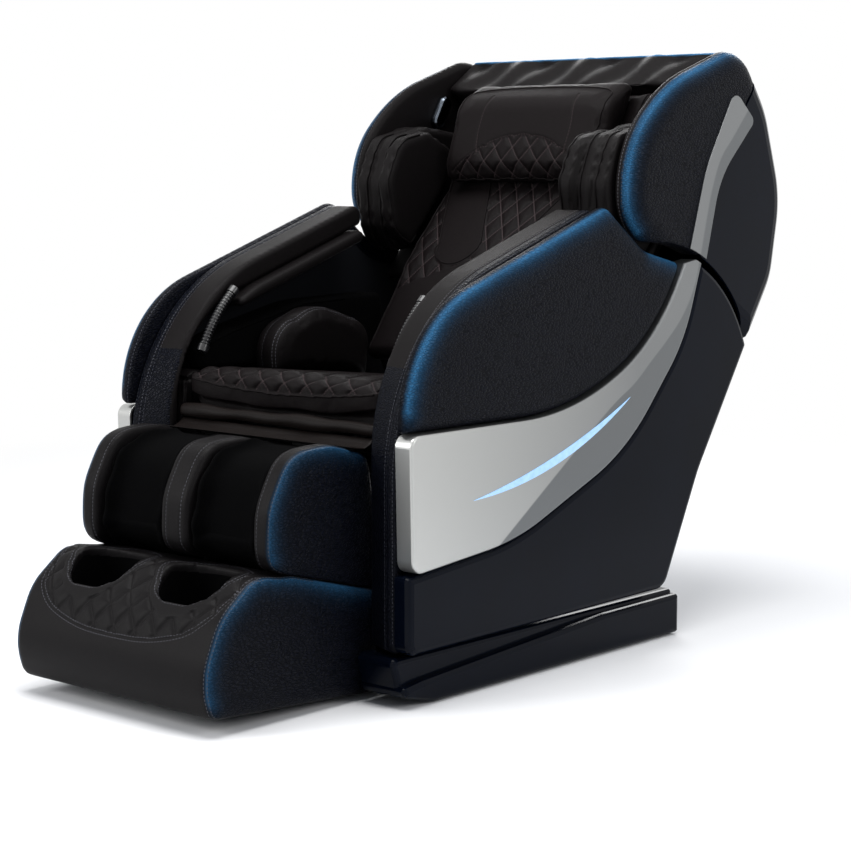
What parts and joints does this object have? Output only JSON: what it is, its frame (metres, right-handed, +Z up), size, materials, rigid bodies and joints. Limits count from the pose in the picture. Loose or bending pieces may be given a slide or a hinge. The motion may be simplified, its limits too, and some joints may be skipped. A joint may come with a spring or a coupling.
{
  "type": "massage chair",
  "caption": "Reclining full-body massage chair in black leather with a hood, padded arms, a leg rest, silver side trims and a light strip on each side.",
  "frame": {"origin": "on the floor, on the plane of symmetry, under the middle of the chair's overall depth", "axes": "+X to the sitter's left, -Y forwards out of the chair, +Z up"},
  "size_m": [0.78, 1.5629, 1.1876],
  "materials": {
    "croc_leather": "embossed black leather, low sheen",
    "soft_leather": "matte brown-black leather",
    "quilted_leather": "matte brown-black leather, quilted",
    "liner_cloth": "black stretch cloth",
    "gloss_shell": "gloss, near-black navy",
    "silver_trim": "silver-grey metallic paint",
    "light_lens": "pale blue translucent",
    "black_plastic": "matte",
    "frame_steel": "black paint, satin",
    "bright_steel": "ground",
    "chrome_ring": "polished",
    "plywood": "raw plywood",
    "rubber": "matte",
    "roller_plastic": "matte grey"
  },
  "bodies": {
    "base": {"base_frame": "frame_steel", "skid_left": "gloss_shell", "skid_right": "gloss_shell", "glide_feet": "rubber", "power_panel": "black_plastic", "slide_drive_tube": "frame_steel", "control_box": "black_plastic"},
    "wheel_l": {"wheel_left": "rubber"},
    "wheel_r": {"wheel_right": "rubber"},
    "rocker": {"power_rocker": "black_plastic"},
    "seat": {"seat_frame": "frame_steel", "seat_boards": "plywood", "carriage_runners": "black_plastic", "seat_cushion": "quilted_leather", "seat_front_cover": "soft_leather", "side_panel_left": "croc_leather", "side_panel_right": "croc_leather", "lower_cover_left": "gloss_shell", "lower_cover_right": "gloss_shell", "side_trim_left": "silver_trim", "side_trim_right": "silver_trim", "side_lights": "light_lens", "arm_band_left": "croc_leather", "arm_band_right": "croc_leather", "arm_inner_pads": "soft_leather", "arm_trays": "liner_cloth", "arm_gussets": "soft_leather", "hip_airbags": "soft_leather", "arm_hoses": "black_plastic", "air_pump": "black_plastic", "slide_drive_rod": "bright_steel"},
    "recline_tube": {"recline_drive_tube": "frame_steel"},
    "recline_rod": {"recline_drive_rod": "bright_steel"},
    "leg_tube": {"leg_drive_tube": "frame_steel"},
    "leg_rod": {"leg_drive_rod": "bright_steel"},
    "back": {"back_frame": "frame_steel", "hood_wing_left": "croc_leather", "hood_wing_right": "croc_leather", "hood_shell": "gloss_shell", "back_lower_shell": "gloss_shell", "hood_trims": "silver_trim", "hood_lining": "soft_leather", "back_pad": "quilted_leather", "shoulder_airbags": "soft_leather", "speaker_pods": "chrome_ring"},
    "pillow": {"head_pillow": "quilted_leather"},
    "carriage": {"massage_carriage": "frame_steel"},
    "knead_l": {"knead_arm_left": "bright_steel"},
    "knead_r": {"knead_arm_right": "bright_steel"},
    "roller_ul": {"upper_roller_left": "roller_plastic"},
    "roller_ur": {"upper_roller_right": "roller_plastic"},
    "roller_ll": {"lower_roller_left": "roller_plastic"},
    "roller_lr": {"lower_roller_right": "roller_plastic"},
    "leg": {"leg_frame": "frame_steel", "calf_sides": "croc_leather", "calf_divider": "soft_leather", "calf_back": "liner_cloth"},
    "foot": {"foot_shell": "soft_leather", "foot_plate": "frame_steel"},
    "foot_roll": {"foot_roller": "roller_plastic"}
  },
  "joints": [
    {"name": "wheel_left_spin", "type": "hinge", "parent": "base", "child": "wheel_l", "pos_m": [0.15, 0.458, 0.036], "axis": [1, 0, 0], "continuous": true},
    {"name": "wheel_right_spin", "type": "hinge", "parent": "base", "child": "wheel_r", "pos_m": [-0.15, 0.458, 0.036], "axis": [1, 0, 0], "continuous": true},
    {"name": "power_switch", "type": "hinge", "parent": "base", "child": "rocker", "pos_m": [0.024, 0.404, 0.106], "axis": [1, 0, 0], "range_deg": [-9, 9]},
    {"name": "seat_slide", "type": "slide", "parent": "base", "child": "seat", "axis": [0, -1, 0], "range_m": [0, 0.12]},
    {"name": "back_recline", "type": "hinge", "parent": "seat", "child": "back", "pos_m": [0, 0.314, 0.436], "axis": [-1, 0, 0], "range_deg": [0, 35]},
    {"name": "pillow_flip", "type": "hinge", "parent": "back", "child": "pillow", "pos_m": [0, 0.498, 1.124], "axis": [-1, 0, 0], "range_deg": [0, 100]},
    {"name": "carriage_slide", "type": "slide", "parent": "back", "child": "carriage", "axis": [0, 0.6157, 0.788], "range_m": [0, 0.38]},
    {"name": "knead_left", "type": "hinge", "parent": "carriage", "child": "knead_l", "pos_m": [0.058, 0.27677, 0.61737], "axis": [1, 0, 0], "range_deg": [-12, 12]},
    {"name": "knead_right", "type": "hinge", "parent": "carriage", "child": "knead_r", "pos_m": [-0.058, 0.27677, 0.61737], "axis": [1, 0, 0], "range_deg": [-12, 12]},
    {"name": "upper_roller_left_spin", "type": "hinge", "parent": "knead_l", "child": "roller_ul", "pos_m": [0.0815, 0.3174, 0.66938], "axis": [1, 0, 0], "continuous": true},
    {"name": "lower_roller_left_spin", "type": "hinge", "parent": "knead_l", "child": "roller_ll", "pos_m": [0.0815, 0.23614, 0.56536], "axis": [1, 0, 0], "continuous": true},
    {"name": "upper_roller_right_spin", "type": "hinge", "parent": "knead_r", "child": "roller_ur", "pos_m": [-0.0815, 0.3174, 0.66938], "axis": [1, 0, 0], "continuous": true},
    {"name": "lower_roller_right_spin", "type": "hinge", "parent": "knead_r", "child": "roller_lr", "pos_m": [-0.0815, 0.23614, 0.56536], "axis": [1, 0, 0], "continuous": true},
    {"name": "legrest_lift", "type": "hinge", "parent": "seat", "child": "leg", "pos_m": [0, -0.352, 0.455], "axis": [-1, 0, 0], "range_deg": [0, 60]},
    {"name": "leg_extend", "type": "slide", "parent": "leg", "child": "foot", "axis": [0, -0.682, -0.7314], "range_m": [0, 0.12]},
    {"name": "foot_roller_spin", "type": "hinge", "parent": "foot", "child": "foot_roll", "pos_m": [0, -0.648, 0.072], "axis": [1, 0, 0], "continuous": true},
    {"name": "recline_drive_pivot", "type": "hinge", "parent": "seat", "child": "recline_tube", "pos_m": [0, -0.098, 0.216], "axis": [1, 0, 0], "range_deg": [-2, 2]},
    {"name": "recline_drive_stroke", "type": "slide", "parent": "recline_tube", "child": "recline_rod", "axis": [0, 0.9505, 0.3107], "range_m": [-0.053, 0.002]},
    {"name": "leg_drive_pivot", "type": "hinge", "parent": "seat", "child": "leg_tube", "pos_m": [0.11, -0.042, 0.38], "axis": [1, 0, 0], "range_deg": [-5, 2]},
    {"name": "leg_drive_stroke", "type": "slide", "parent": "leg_tube", "child": "leg_rod", "axis": [0, -0.9968, 0.0799], "range_m": [-0.002, 0.048]}
  ],
  "couplings": [
    {"joint": "recline_drive_pivot", "follows": "back_recline", "ratio": -0.0104},
    {"joint": "recline_drive_stroke", "follows": "back_recline", "m_per_rad": -0.083497},
    {"joint": "leg_drive_pivot", "follows": "legrest_lift", "ratio": -0.0584},
    {"joint": "leg_drive_stroke", "follows": "legrest_lift", "m_per_rad": 0.044152}
  ]
}
